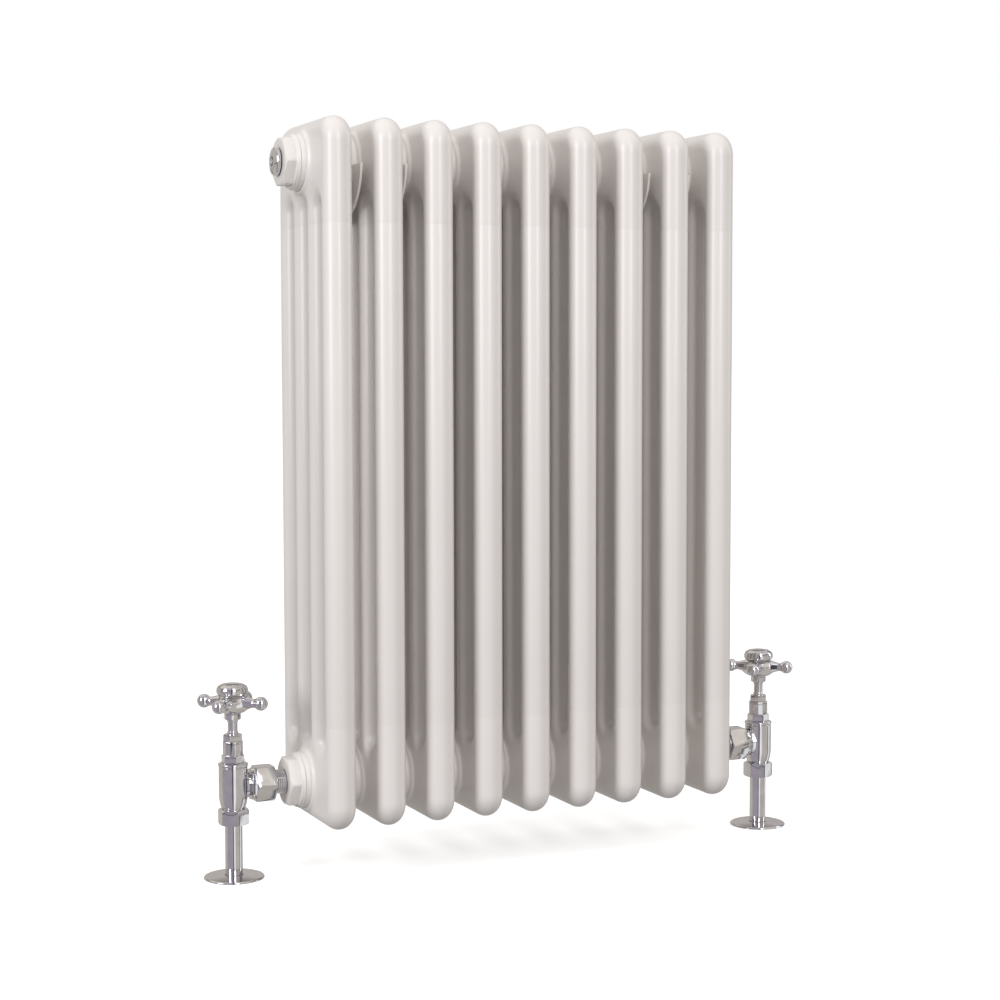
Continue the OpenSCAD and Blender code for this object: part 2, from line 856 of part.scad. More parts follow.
module spindle(side) {
    z_start = jumper_top + end_gap;
    color("silver")
        at_valve(side)
            difference() {
                union() {
                    translate([0, 0, z_start])
                        cylinder(d = lift_thread_d, h = z_lift_thread - z_start);
                    translate([0, 0, z_lift_thread - slop])
                        cylinder(d = spindle_d, h = z_square - z_lift_thread + slop);
                    translate([-square_af / 2, -square_af / 2, z_square - slop])
                        cube([square_af, square_af, square_h]);
                }
                translate([0, 0, z_start - 1])
                    cylinder(r = jumper_stem_d / 2 + running_gap, h = jumper_stem_l + 2);
                translate([0, 0, z_square + square_h - screw_l])
                    cylinder(r = handle_screw_d / 2 + thread_gap, h = screw_l + 1);
            }
}

module jumper(side) {
    color("goldenrod")
        at_valve(side)
            union() {
                translate([0, 0, jumper_top - jumper_t])
                    cylinder(d = jumper_d, h = jumper_t);
                translate([0, 0, jumper_top - slop])
                    cylinder(d = jumper_stem_d, h = jumper_stem_l);
                translate([0, 0, -seat_drop + end_gap])
                    cylinder(d = jumper_boss_d, h = washer_t + slop);
            }
}

module jumper_washer(side) {
    color("black")
        at_valve(side)
            translate([0, 0, -seat_drop + end_gap])
                ring(jumper_boss_d / 2, washer_r, washer_t);
}

module crosshead(side) {
    ball_z = z_collar + collar_h + ball_rise;
    blank_r = hub_d / 2 + hub_blank_lip;
    block_af = hub_d - hub_flat_step;
    block_h = hub_h - cap_h;
    color("silver")
        at_valve(side)
            difference() {
                union() {
                    translate([0, 0, z_collar])
                        cylinder(r = spindle_d / 2 + collar_lip, h = collar_h + slop);
                    translate([0, 0, z_collar + collar_h])
                        rotate([0, 0, arm_turn + 45])
                            milled(4, block_af, blank_r, block_h, hub_top_bevel, hub_low_bevel);
                    for (k = [0:3])
                        rotate([0, 0, arm_turn + 90 * k])
                            translate([0, 0, ball_z]) {
                                rotate([0, 90, 0])
                                    cylinder(d = arm_d, h = ball_reach);
                                translate([ball_reach, 0, 0])
                                    sphere(d = ball_d);
                            }
                }
                translate([0, 0, z_collar - 1])
                    cylinder(r = spindle_d / 2 + thread_gap, h = z_square - z_collar + 1);
                translate([-square_af / 2 - thread_gap, -square_af / 2 - thread_gap, z_square - 1])
                    cube([square_af + 2 * thread_gap, square_af + 2 * thread_gap, square_h + 1]);
                translate([0, 0, z_square])
                    cylinder(r = handle_screw_d / 2 + 2 * thread_gap, h = hub_h);
                translate([0, 0, z_screw_head])
                    cylinder(r = cap_spigot_r + thread_gap, h = cap_recess + 1);
            }
}

module handle_cap(side) {
    color("silver")
        at_valve(side)
            translate([0, 0, z_cap])
                difference() {
                    union() {
                        intersection() {
                            cylinder(d = hub_d, h = cap_h);
                            translate([0, 0, cap_h - cap_dome_r])
                                sphere(r = cap_dome_r, $fn = 96);
                        }
                        translate([0, 0, -cap_spigot_l])
                            ring(cap_spigot_r - cap_spigot_t, cap_spigot_r, cap_spigot_l + slop);
                    }
                    translate([0, 0, cap_groove_z])
                        ring(cap_groove_r, hub_d, cap_groove_w);
                }
}

module handle_screw(side) {
    color("silver")
        at_valve(side)
            difference() {
                union() {
                    translate([0, 0, z_screw_head])
                        cylinder(d = screw_head_d, h = screw_head_h);
                    translate([0, 0, z_square + square_h - screw_l + end_gap])
                        cylinder(d = handle_screw_d, h = screw_l + handle_floor_t + slop);
                }
                translate([-screw_head_d, -screw_slot_w / 2, z_screw_head + screw_head_h / 2])
                    cube([2 * screw_head_d, screw_slot_w, screw_head_h]);
            }
}

for (i = [1:section_count])
    section(i);
necks(z_tap_high);  // necks_top
necks(z_tap);  // necks_bottom
bush("left", z_tap_high);  // bush_top_left
bush("right", z_tap_high);  // bush_top_right
bush("left", z_tap);  // bush_bottom_left
bush("right", z_tap);  // bush_bottom_right
bush_seals();
vent_body();
plug_seal("left");  // vent_seal
vent_screw();
vent_tip();
blanking_plug();
plug_seal("right");  // blanking_seal
bracket("left");  // bracket_left
bracket("right");  // bracket_right
lower_stay();
stay_pad();
for (side = SIDES) {
    valve_body(side);
    union_nut(side);
    tail(side);
    compression_nut(side);
    olive(side);
    bonnet(side);
    gland_nut(side);
    gland_packing(side);
    spindle(side);
    crosshead(side);
    handle_cap(side);
    handle_screw(side);
    jumper(side);
    jumper_washer(side);
    supply_pipe(side);
    floor_plate(side);
}
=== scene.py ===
"""Column radiator with two crosshead valves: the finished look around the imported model."""
import math

import bmesh
import bpy
import numpy as np
from mathutils import Matrix, Vector


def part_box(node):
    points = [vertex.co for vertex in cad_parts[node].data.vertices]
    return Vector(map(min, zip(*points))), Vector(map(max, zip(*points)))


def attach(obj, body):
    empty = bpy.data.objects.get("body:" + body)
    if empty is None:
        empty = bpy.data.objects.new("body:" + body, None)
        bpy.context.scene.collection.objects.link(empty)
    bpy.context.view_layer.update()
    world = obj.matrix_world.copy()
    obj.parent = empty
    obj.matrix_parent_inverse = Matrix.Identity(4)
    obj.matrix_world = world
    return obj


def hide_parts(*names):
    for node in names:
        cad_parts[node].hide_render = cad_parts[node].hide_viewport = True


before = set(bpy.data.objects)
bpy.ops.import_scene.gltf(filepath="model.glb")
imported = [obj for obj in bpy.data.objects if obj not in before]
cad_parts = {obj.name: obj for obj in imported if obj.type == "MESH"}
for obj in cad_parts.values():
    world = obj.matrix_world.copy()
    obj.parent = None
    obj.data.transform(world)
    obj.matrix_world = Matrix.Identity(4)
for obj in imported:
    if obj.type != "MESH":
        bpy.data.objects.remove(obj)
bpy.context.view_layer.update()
MM = 0.001
SIDES = ("left", "right")
SECTIONS = 9

# ---------------------------------------------------------------- camera
camera = bpy.data.objects.new("camera", bpy.data.cameras.new("camera"))
bpy.context.scene.collection.objects.link(camera)
bpy.context.scene.camera = camera
camera.data.sensor_width = 36
camera.data.lens = 75.36
camera.data.clip_end = 50
camera.location = (-0.7445, -1.7325, 0.4451)
camera.rotation_euler = (math.radians(90 - 3.92), math.radians(0.1), math.radians(-23.22))

# ---------------------------------------------------------------- places, read from the frame
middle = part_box(f"section_{(SECTIONS + 1) // 2}")
SECTION_H = middle[1][2] - middle[0][2]
DEPTH = middle[1][1] - middle[0][1]
Y_AXIS = (middle[0][1] + middle[1][1]) / 2
Z_LOW, Z_HIGH = middle[0][2], middle[1][2]
Z_MID = (Z_LOW + Z_HIGH) / 2
low_bush, high_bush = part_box("bush_bottom_right"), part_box("bush_top_right")
Z_TAP = (low_bush[0][2] + low_bush[1][2]) / 2
Z_TAP_HIGH = (high_bush[0][2] + high_bush[1][2]) / 2
HUB_REACH = (middle[1][0] - middle[0][0]) / 2
first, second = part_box("section_1"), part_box("section_2")
SECTION_PITCH = second[0][0] - first[0][0]
X_HUB_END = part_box(f"section_{SECTIONS}")[1][0]
X_BUSH_END = high_bush[1][0]
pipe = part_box("right_supply_pipe")
X_VALVE = (pipe[0][0] + pipe[1][0]) / 2
PIPE_R = (pipe[1][0] - pipe[0][0]) / 2

# Sizes of the pressed steel
COLUMN_R = 12.5 * MM
COLUMN_PITCH = (DEPTH - 2 * COLUMN_R) / 3
COLUMNS = [(k - 1.5) * COLUMN_PITCH for k in range(4)]
SLOT_R = COLUMN_PITCH / 2 - COLUMN_R
HUB_INSET = Z_HIGH - Z_TAP_HIGH
HEAD_H = 69 * MM
SEAM_DROP = 88 * MM
CORNER_R = 8.5 * MM
HUB_FLANGE_R = 27 * MM
HUB_BORE_R = 20.9 * MM
NECK_R = 23 * MM
FLANGE_EDGE_R = 1.6 * MM
FLANGE_FILLET = 3.2 * MM


# ---------------------------------------------------------------- materials
def colour(hex_text):
    """sRGB hex to the linear colour that shaders use."""
    out = []
    for k in (0, 2, 4):
        c = int(hex_text[k:k + 2], 16) / 255
        out.append(c / 12.92 if c <= 0.04045 else ((c + 0.055) / 1.055) ** 2.4)
    return (*out, 1.0)


def add(tree, kind, inputs=None, **settings):
    """Adds one node: settings go on the node, inputs are values or sockets to link from."""
    node = tree.nodes.new(kind)
    for name, value in settings.items():
        setattr(node, name, value)
    for name, value in (inputs or {}).items():
        if isinstance(value, bpy.types.NodeSocket):
            tree.links.new(value, node.inputs[name])
        else:
            node.inputs[name].default_value = value
    return node


def ramp(tree, value, stops):
    """A colour ramp through (position, colour) stops."""
    node = add(tree, "ShaderNodeValToRGB", {"Fac": value})
    elements = node.color_ramp.elements
    while len(elements) < len(stops):
        elements.new(0.5)
    for element, (position, shade) in zip(elements, stops):
        element.position = position
        element.color = shade
    return node.outputs["Color"]


def grey(value):
    return (value, value, value, 1.0)


def start(name):
    """A new material's tree, its shader and its Object coordinates."""
    material = bpy.data.materials.new(name)
    material.use_nodes = True
    tree = material.node_tree
    shader = tree.nodes["Principled BSDF"]
    place = add(tree, "ShaderNodeTexCoord").outputs["Object"]
    return material, tree, shader, place


def noise(tree, place, size_mm, detail=2.0, stretch=None):
    """Noise whose features are about size_mm wide. stretch scales the coordinates first."""
    if stretch:
        place = add(tree, "ShaderNodeMapping", {"Vector": place, "Scale": stretch}).outputs[0]
    inputs = {"Vector": place, "Scale": 1 / (size_mm * MM), "Detail": detail}
    return add(tree, "ShaderNodeTexNoise", inputs).outputs["Fac"]


def bump(tree, shader, height, distance_mm, strength=1.0):
    inputs = {"Height": height, "Distance": distance_mm * MM, "Strength": strength}
    tree.links.new(add(tree, "ShaderNodeBump", inputs).outputs[0], shader.inputs["Normal"])


def powder_coat():
    """Powder coat on steel: satin, slightly warm white, with a faint orange peel."""
    material, tree, shader, place = start("powder_coated_steel_gloss_white")
    patches = noise(tree, place, 70, 3)
    tone = ramp(tree, patches, [(0.3, colour("EBE6E3")), (0.7, colour("EDE8E5"))])
    tree.links.new(tone, shader.inputs["Base Color"])
    gloss = ramp(tree, noise(tree, place, 30, 2), [(0.2, grey(0.34)), (0.8, grey(0.38))])
    tree.links.new(gloss, shader.inputs["Roughness"])
    shader.inputs["Coat Weight"].default_value = 0.15
    shader.inputs["Coat Roughness"].default_value = 0.2
    bump(tree, shader, noise(tree, place, 1.4, 1), 0.01, 0.12)
    return material


def chrome():
    """Chrome plate on polished brass: mirror bright, with fine wiping marks."""
    material, tree, shader, place = start("chrome_plate_on_brass")
    shade = ramp(tree, noise(tree, place, 9, 3), [(0.3, colour("CFCFD3")), (0.75, colour("DEDEE0"))])
    tree.links.new(shade, shader.inputs["Base Color"])
    shader.inputs["Metallic"].default_value = 1.0
    wipes = noise(tree, place, 3, 5, stretch=(1.0, 1.0, 6.0))
    gloss = ramp(tree, wipes, [(0.35, grey(0.03)), (0.75, grey(0.08))])
    tree.links.new(gloss, shader.inputs["Roughness"])
    bump(tree, shader, noise(tree, place, 6, 1), 0.01, 0.3)
    return material


def brass():
    """Bare turned brass: warm, satin, with fine tool rings."""
    material, tree, shader, place = start("brass_turned")
    shade = ramp(tree, noise(tree, place, 5, 4), [(0.3, colour("B08D4A")), (0.7, colour("CDAA63"))])
    tree.links.new(shade, shader.inputs["Base Color"])
    shader.inputs["Metallic"].default_value = 1.0
    gloss = ramp(tree, noise(tree, place, 2, 3), [(0.3, grey(0.2)), (0.7, grey(0.34))])
    tree.links.new(gloss, shader.inputs["Roughness"])
    bump(tree, shader, noise(tree, place, 0.4, 1, stretch=(0.1, 0.1, 1.0)), 0.02, 0.4)
    return material


def zinc_steel():
    """Zinc-plated steel screw: cool grey with a dull bloom."""
    material, tree, shader, place = start("steel_zinc_plated")
    shade = ramp(tree, noise(tree, place, 2, 4), [(0.3, colour("9DA0A3")), (0.7, colour("C4C6C8"))])
    tree.links.new(shade, shader.inputs["Base Color"])
    shader.inputs["Metallic"].default_value = 1.0
    gloss = ramp(tree, noise(tree, place, 1, 3), [(0.3, grey(0.28)), (0.7, grey(0.45))])
    tree.links.new(gloss, shader.inputs["Roughness"])
    return material


def rubber(name, dark, light):
    """Moulded rubber: near black, soft sheen, a fine mould texture and a little dust."""
    material, tree, shader, place = start(name)
    shade = ramp(tree, noise(tree, place, 3, 5), [(0.35, colour(dark)), (0.75, colour(light))])
    tree.links.new(shade, shader.inputs["Base Color"])
    gloss = ramp(tree, noise(tree, place, 1.5, 3), [(0.3, grey(0.45)), (0.7, grey(0.6))])
    tree.links.new(gloss, shader.inputs["Roughness"])
    bump(tree, shader, noise(tree, place, 0.5, 2), 0.03, 0.5)
    return material


def ptfe():
    """PTFE: waxy off-white that lets a little light in."""
    material, tree, shader, place = start("ptfe_white")
    shade = ramp(tree, noise(tree, place, 4, 3), [(0.3, colour("E4E1D6")), (0.7, colour("F0EEE6"))])
    tree.links.new(shade, shader.inputs["Base Color"])
    shader.inputs["Roughness"].default_value = 0.4
    bump(tree, shader, noise(tree, place, 0.8, 2), 0.02, 0.4)
    return material


WHITE = powder_coat()
CHROME = chrome()
BRASS = brass()
ZINC = zinc_steel()
BLACK_RUBBER = rubber("rubber_black_moulded", "101010", "1E1E1D")
GREY_RUBBER = rubber("rubber_grey_moulded", "3A3A39", "4E4E4C")
PTFE = ptfe()


# ---------------------------------------------------------------- shop tools for the meshes
def rounded(corners, closed=True, steps=4):
    """Outline through (r, z, fillet) corners, each rounded by an arc of its fillet radius."""
    count = len(corners)
    points = []
    for k, (x, y, fillet) in enumerate(corners):
        here = Vector((x, y))
        if fillet <= 0 or (not closed and k in (0, count - 1)):
            points.append((x, y))
            continue
        before = (Vector(corners[k - 1][:2]) - here).normalized()
        after = (Vector(corners[(k + 1) % count][:2]) - here).normalized()
        half = before.angle(after) / 2
        centre = here + (before + after).normalized() * fillet / math.sin(half)
        a = here + before * fillet / math.tan(half) - centre
        b = here + after * fillet / math.tan(half) - centre
        sweep = a.angle_signed(b)
        for n in range(steps + 1):
            turn = -sweep * n / steps
            c, s = math.cos(turn), math.sin(turn)
            points.append((centre.x + a.x * c - a.y * s, centre.y + a.x * s + a.y * c))
    return points


def turned(corners, steps=72, fillet_steps=4):
    """Solid turned round Z from its outline of (radius, height, fillet) corners in metres.
    An outline that starts and ends on the axis is left open there."""
    on_axis = corners[0][0] == 0 and corners[-1][0] == 0
    outline = rounded(corners, not on_axis, fillet_steps)
    bm = bmesh.new()
    verts = [bm.verts.new((r, 0, z)) for r, z in outline]
    pairs = list(zip(verts, verts[1:]))
    if not on_axis:
        pairs.append((verts[-1], verts[0]))
    edges = [bm.edges.new(pair) for pair in pairs]
    bmesh.ops.spin(bm, geom=verts + edges, cent=(0, 0, 0), axis=(0, 0, 1), dvec=(0, 0, 0),
                   angle=2 * math.pi, steps=steps, use_merge=True, use_duplicate=False)
    bmesh.ops.remove_doubles(bm, verts=bm.verts[:], dist=1e-7)
    bmesh.ops.recalc_face_normals(bm, faces=bm.faces[:])
    return bm


def mill(bm, sides, across_flats, turn=0.0, lean=0.0, z=0.0):
    """Mills flats round Z into a turned blank. Flats that lean inwards start at height z."""
    for k in range(sides):
        angle = turn + 2 * math.pi * k / sides
        outward = Vector((math.cos(angle), math.sin(angle), 0))
        normal = outward * math.cos(lean) + Vector((0, 0, math.sin(lean)))
        geom = bm.verts[:] + bm.edges[:] + bm.faces[:]
        cut = bmesh.ops.bisect_plane(bm, geom=geom, dist=1e-7, plane_no=normal, clear_outer=True,
                                     plane_co=outward * across_flats / 2 + Vector((0, 0, z)))
        edges = [e for e in cut["geom_cut"] if isinstance(e, bmesh.types.BMEdge)]
        bmesh.ops.edgeloop_fill(bm, edges=edges)
    bmesh.ops.recalc_face_normals(bm, faces=bm.faces[:])
    return bm


def ease_edges(bm, width, min_angle=24, segments=2):
    """Breaks every sharp edge with a small round."""
    limit = math.radians(min_angle)
    edges = [e for e in bm.edges if len(e.link_faces) == 2 and e.calc_face_angle(0) > limit]
    bmesh.ops.bevel(bm, geom=edges, offset=width, offset_type="OFFSET", segments=segments,
                    profile=0.5, affect="EDGES", clamp_overlap=True, material=-1)
    return bm


def nut(af, height, bore_r, top_bevel, low_bevel, blank_r=None, sides=6, turn=0.0, ease=0.3 * MM):
    """A milled nut from z = 0 up, bevelled at 30 degrees, with a plain bore."""
    slope = math.tan(math.radians(30))
    r = blank_r or af / 2 / math.cos(math.pi / sides)
    corners = [(bore_r, 0, 0), (r - low_bevel, 0, 0)]
    corners += [(r, low_bevel * slope, 0)] if low_bevel else []
    corners += [(r, height - top_bevel * slope, 0)] if top_bevel else []
    corners += [(r - top_bevel, height, 0), (bore_r, height, 0)]
    bm = turned(corners, 120)
    mill(bm, sides, af, turn)
    return ease_edges(bm, ease)


def moved(bm, matrix):
    bmesh.ops.transform(bm, matrix=matrix, verts=bm.verts[:])
    if matrix.determinant() < 0:
        bmesh.ops.reverse_faces(bm, faces=bm.faces[:])
    return bm


def raised(bm, z):
    return moved(bm, Matrix.Translation((0, 0, z)))


def joined(*parts):
    """One bmesh holding the solids of all parts."""
    whole = bmesh.new()
    for part in parts:
        mesh = bpy.data.meshes.new("part")
        part.to_mesh(mesh)
        part.free()
        whole.from_mesh(mesh)
        bpy.data.meshes.remove(mesh)
    return whole


def fused(base, *tools, how="UNION"):
    """Joins or cuts the base with each tool by an exact boolean."""
    holder = as_object("base", base)
    others = [as_object("tool", tool) for tool in tools]
    for other in others:
        modifier = holder.modifiers.new("join", "BOOLEAN")
        modifier.operation = how
        modifier.solver = "EXACT"
        modifier.object = other
    bm = applied(holder)
    for other in others:
        bpy.data.objects.remove(other)
    return bm


def as_object(name, bm):
    mesh = bpy.data.meshes.new(name)
    bm.to_mesh(mesh)
    bm.free()
    obj = bpy.data.objects.new(name, mesh)
    bpy.context.scene.collection.objects.link(obj)
    return obj


def applied(obj):
    """The object's mesh with its modifiers, as a bmesh. The object is removed."""
    graph = bpy.context.evaluated_depsgraph_get()
    mesh = bpy.data.meshes.new_from_object(obj.evaluated_get(graph))
    bpy.data.objects.remove(obj)
    bm = bmesh.new()
    bm.from_mesh(mesh)
    bpy.data.meshes.remove(mesh)
    return bm


def piece(name, bm, material, body, *nodes, sharp=38):
    """Finishes a mesh as a visible piece that rides on a body and stands for CAD nodes."""
    limit = math.radians(sharp)
    for face in bm.faces:
        face.smooth = True
    for edge in bm.edges:
        edge.smooth = len(edge.link_faces) == 2 and edge.calc_face_angle(0) < limit
    obj = as_object(name, bm)
    obj.data.materials.append(material)
    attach(obj, body)
    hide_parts(*nodes)
    return obj


# ---------------------------------------------------------------- places for the fittings
def at_tapping(side, z):
    """+Z runs outwards from the hub face, +X points down."""
    half_turn = math.pi if side == "left" else 0
    return (Matrix.Translation((0, Y_AXIS, z)) @ Matrix.Rotation(half_turn, 4, "Z")
            @ Matrix.Translation((X_HUB_END, 0, 0)) @ Matrix.Rotation(math.pi / 2, 4, "Y"))


def at_bush_face(side, z):
    return at_tapping(side, z) @ Matrix.Translation((0, 0, X_BUSH_END - X_HUB_END))


def at_valve(side):
    """The origin is where the upright axis meets the branch, +X points at the radiator."""
    x = -X_VALVE if side == "left" else X_VALVE
    half_turn = 0 if side == "left" else math.pi
    return Matrix.Translation((x, Y_AXIS, Z_TAP)) @ Matrix.Rotation(half_turn, 4, "Z")


ALONG_BRANCH = Matrix.Rotation(math.pi / 2, 4, "Y")


# ---------------------------------------------------------------- the radiator
def soft_min(a, b, blend):
    """The smaller of two distances, with a fillet where they meet."""
    h = np.clip(0.5 + 0.5 * (b - a) / blend, 0, 1)
    return b + (a - b) * h - blend * h * (1 - h)


def head_distance(p):
    """Distance of points from a pressed head's surface, from the hub axis, +Z up, in metres.
    The head is a ball of the column's radius swept over a flat plate with three slots."""
    x, y, z = np.abs(p[:, 0]), p[:, 1], p[:, 2]
    rim = HUB_INSET - COLUMN_R
    saddle = HUB_INSET - HEAD_H - SLOT_R
    outer = np.maximum(np.abs(y) - COLUMNS[3] + CORNER_R, 0)
    over = np.maximum(z - rim + CORNER_R, 0)
    plate = np.hypot(outer, over) - CORNER_R
    nearest = np.clip(np.round(y / COLUMN_PITCH), -1, 1) * COLUMN_PITCH
    slot = COLUMN_PITCH / 2 - np.hypot(y - nearest, np.maximum(z - saddle, 0))
    flat = np.maximum(np.maximum(plate, slot), 0)
    body = np.hypot(x, flat) - COLUMN_R
    out = np.hypot(y, z) - HUB_FLANGE_R + FLANGE_EDGE_R
    along = x - HUB_REACH + FLANGE_EDGE_R
    flange = np.hypot(np.maximum(out, 0), np.maximum(along, 0)) - FLANGE_EDGE_R
    flange += np.minimum(np.maximum(out, along), 0)
    return soft_min(body, flange, FLANGE_FILLET)


def pressed_head():
    """One pressed head with its raised hub, open for the water way, as a mesh."""
    foot = HUB_INSET - SEAM_DROP
    spare = 4 * MM
    block_z = (HUB_INSET + HUB_INSET - HEAD_H) / 2
    block = bmesh.new()
    size = Matrix.Diagonal((2 * COLUMN_R, DEPTH, HEAD_H, 1))
    bmesh.ops.create_cube(block, size=1.0, matrix=Matrix.Translation((0, 0, block_z)) @ size)
    bmesh.ops.bevel(block, geom=block.edges[:], offset=9 * MM, segments=3, profile=0.5,
                    affect="EDGES", clamp_overlap=True, material=-1)
    legs = []
    for y in COLUMNS:
        leg = turned([
            (0, foot - spare, 0), (COLUMN_R, foot - spare, 0), (COLUMN_R, 0, 0), (0, 0, 0),
        ], 32)
        legs.append(moved(leg, Matrix.Translation((0, y, 0))))
    flange = turned([
        (0, -HUB_REACH, 0), (HUB_FLANGE_R, -HUB_REACH, 0), (HUB_FLANGE_R, HUB_REACH, 0),
        (0, HUB_REACH, 0),
    ], 48)
    moved(flange, Matrix.Rotation(math.pi / 2, 4, "Y"))
    shell = as_object("head", joined(block, flange, *legs))
    remesh = shell.modifiers.new("even", "REMESH")
    remesh.mode = "VOXEL"
    remesh.voxel_size = 1.35 * MM
    bm = applied(shell)
    probe = 0.02 * MM
    for _ in range(4):
        bmesh.ops.smooth_vert(bm, verts=bm.verts[:], factor=0.5, use_axis_x=True,
                              use_axis_y=True, use_axis_z=True)
        points = np.array([v.co for v in bm.verts])
        for _ in range(3):
            value = head_distance(points)
            slope = np.stack([(head_distance(points + probe * axis) - value) / probe
                              for axis in np.eye(3)], axis=1)
            length = np.maximum((slope ** 2).sum(axis=1), 0.2)
            points -= slope * (value / length)[:, None]
        for vert, point in zip(bm.verts, points):
            vert.co = point
    geom = bm.verts[:] + bm.edges[:] + bm.faces[:]
    cut = bmesh.ops.bisect_plane(bm, geom=geom, dist=1e-7, plane_co=(0, 0, foot),
                                 plane_no=(0, 0, -1), clear_outer=True)
    edges = [e for e in cut["geom_cut"] if isinstance(e, bmesh.types.BMEdge)]
    bmesh.ops.holes_fill(bm, edges=edges, sides=0)
    bmesh.ops.recalc_face_normals(bm, faces=bm.faces[:])
    bore = turned([(0, -0.05, 0), (HUB_BORE_R, -0.05, 0), (HUB_BORE_R, 0.05, 0), (0, 0.05, 0)], 72)
    moved(bore, Matrix.Rotation(math.pi / 2, 4, "Y"))
    bm = fused(bm, bore, how="DIFFERENCE")
    mesh = bpy.data.meshes.new("pressed_head")
    bm.to_mesh(mesh)
    bm.free()
    return mesh


def column_tube():
    """A tube between two heads, drawn in slightly at the ground-down weld at each end."""
    half = SECTION_H / 2 - SEAM_DROP
    sink, wide = 0.1 * MM, 1.6 * MM
    r = COLUMN_R
    return turned([
        (0, -half, 0), (r - sink, -half, 0), (r - sink, -half + wide / 2, 0.3 * MM),
        (r, -half + wide, 0), (r, half - wide, 0), (r - sink, half - wide / 2, 0.3 * MM),
        (r - sink, half, 0), (0, half, 0),
    ], 64, 2)


def section(index, head_mesh):
    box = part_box(f"section_{index}")
    x = (box[0][0] + box[1][0]) / 2
    whole = bmesh.new()
    for z, flip in ((Z_TAP_HIGH, 1), (Z_TAP, -1)):
        part = bmesh.new()
        part.from_mesh(head_mesh)
        moved(part, Matrix.Translation((x, Y_AXIS, z)) @ Matrix.Diagonal((1, 1, flip, 1)))
        whole = joined(whole, part)
    tubes = [moved(column_tube(), Matrix.Translation((x, Y_AXIS + y, Z_MID))) for y in COLUMNS]
    whole = joined(whole, *tubes)
    piece(f"section_{index}_welded_steel", whole, WHITE, "root", f"section_{index}", sharp=50)


def necks(name, z):
    """The rings between the hubs, flared into them, each with a weld bead round its middle."""
    length = SECTION_PITCH - 2 * HUB_REACH
    r, flare, bead = NECK_R, 1.2 * MM, 0.45 * MM
    rings = []
    for k in range(1, SECTIONS):
        x = (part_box(f"section_{k}")[1][0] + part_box(f"section_{k + 1}")[0][0]) / 2
        ring = turned([
            (HUB_BORE_R, -length / 2, 0), (r + flare, -length / 2, 0), (r, -length / 2 + flare, flare),
            (r, -1.6 * MM, 0.6 * MM), (r + bead, -0.7 * MM, 0.5 * MM), (r + bead, 0.7 * MM, 0.5 * MM),
            (r, 1.6 * MM, 0.6 * MM), (r, length / 2 - flare, flare), (r + flare, length / 2, 0),
            (HUB_BORE_R, length / 2, 0),
        ], 96, 3)
        place = Matrix.Translation((x, Y_AXIS, z)) @ Matrix.Rotation(math.pi / 2, 4, "Y")
        rings.append(moved(ring, place))
    piece(f"{name}_welded_rings", joined(*rings), WHITE, "root", name)


# ---------------------------------------------------------------- bushes, vent and plug
BUSH_FLANGE_R = (high_bush[1][2] - high_bush[0][2]) / 2
BUSH_FLANGE_T = 5 * MM
BUSH_STEP_R = 23.3 * MM
BUSH_STEP_T = 3.3 * MM
BUSH_HEX_AF = 39.6 * MM
TAP_R = 10.55 * MM
PLUG_R = 12 * MM
PLUG_L = 6 * MM
PLUG_GAP = 1 * MM
BLEED_R = 4 * MM


def bush(node, side, z):
    thread_r = 20.8 * MM
    thread_l = 14 * MM
    recess_r = 22.95 * MM
    recess = 1.2 * MM
    hex_base = BUSH_FLANGE_T + BUSH_STEP_T
    base = turned([
        (TAP_R, -thread_l, 0), (thread_r - 1 * MM, -thread_l, 0), (thread_r, -thread_l + 1 * MM, 0),
        (thread_r, recess, 0), (recess_r, recess, 0), (recess_r, 0, 0), (BUSH_FLANGE_R, 0, 0.4 * MM),
        (BUSH_FLANGE_R, BUSH_FLANGE_T, 1.8 * MM), (BUSH_STEP_R, BUSH_FLANGE_T, 0.8 * MM),
        (BUSH_STEP_R, hex_base, 1.2 * MM), (TAP_R, hex_base, 0),
    ], 96)
    hexagon = nut(BUSH_HEX_AF, X_BUSH_END - X_HUB_END - hex_base, TAP_R, 3.2 * MM, 0,
                  blank_r=22.3 * MM, ease=1.0 * MM)
    raised(hexagon, hex_base)
    piece(f"{node}_screwed", moved(joined(base, hexagon), at_tapping(side, z)), WHITE, "root", node)


def plug_outline(bore_r, bore_floor):
    """A domed head on a short thread; the bore runs from its floor out through the dome."""
    thread_r = 10.45 * MM
    thread_l = 11 * MM
    shoulder = 4.4 * MM
    undercut_r, groove_r, groove_z = 9.6 * MM, 11.4 * MM, 1.8 * MM
    outline = [(0, -thread_l, 0), (thread_r - 1 * MM, -thread_l, 0), (thread_r, -thread_l + 1 * MM, 0)]
    outline += [(thread_r, 0, 0), (undercut_r, 0, 0), (undercut_r, groove_z, 0)]
    outline += [(groove_r, groove_z, 0), (groove_r, PLUG_GAP, 0)]
    outline += [(PLUG_R, PLUG_GAP, 0.3 * MM), (PLUG_R, shoulder, 1.5 * MM)]
    outline += [(PLUG_R * 0.62, PLUG_L - 0.45 * MM, 5 * MM)]
    outline += [(bore_r, PLUG_L - 0.1 * MM, 0.3 * MM), (bore_r, bore_floor, 0), (0, bore_floor, 0)]
    return outline


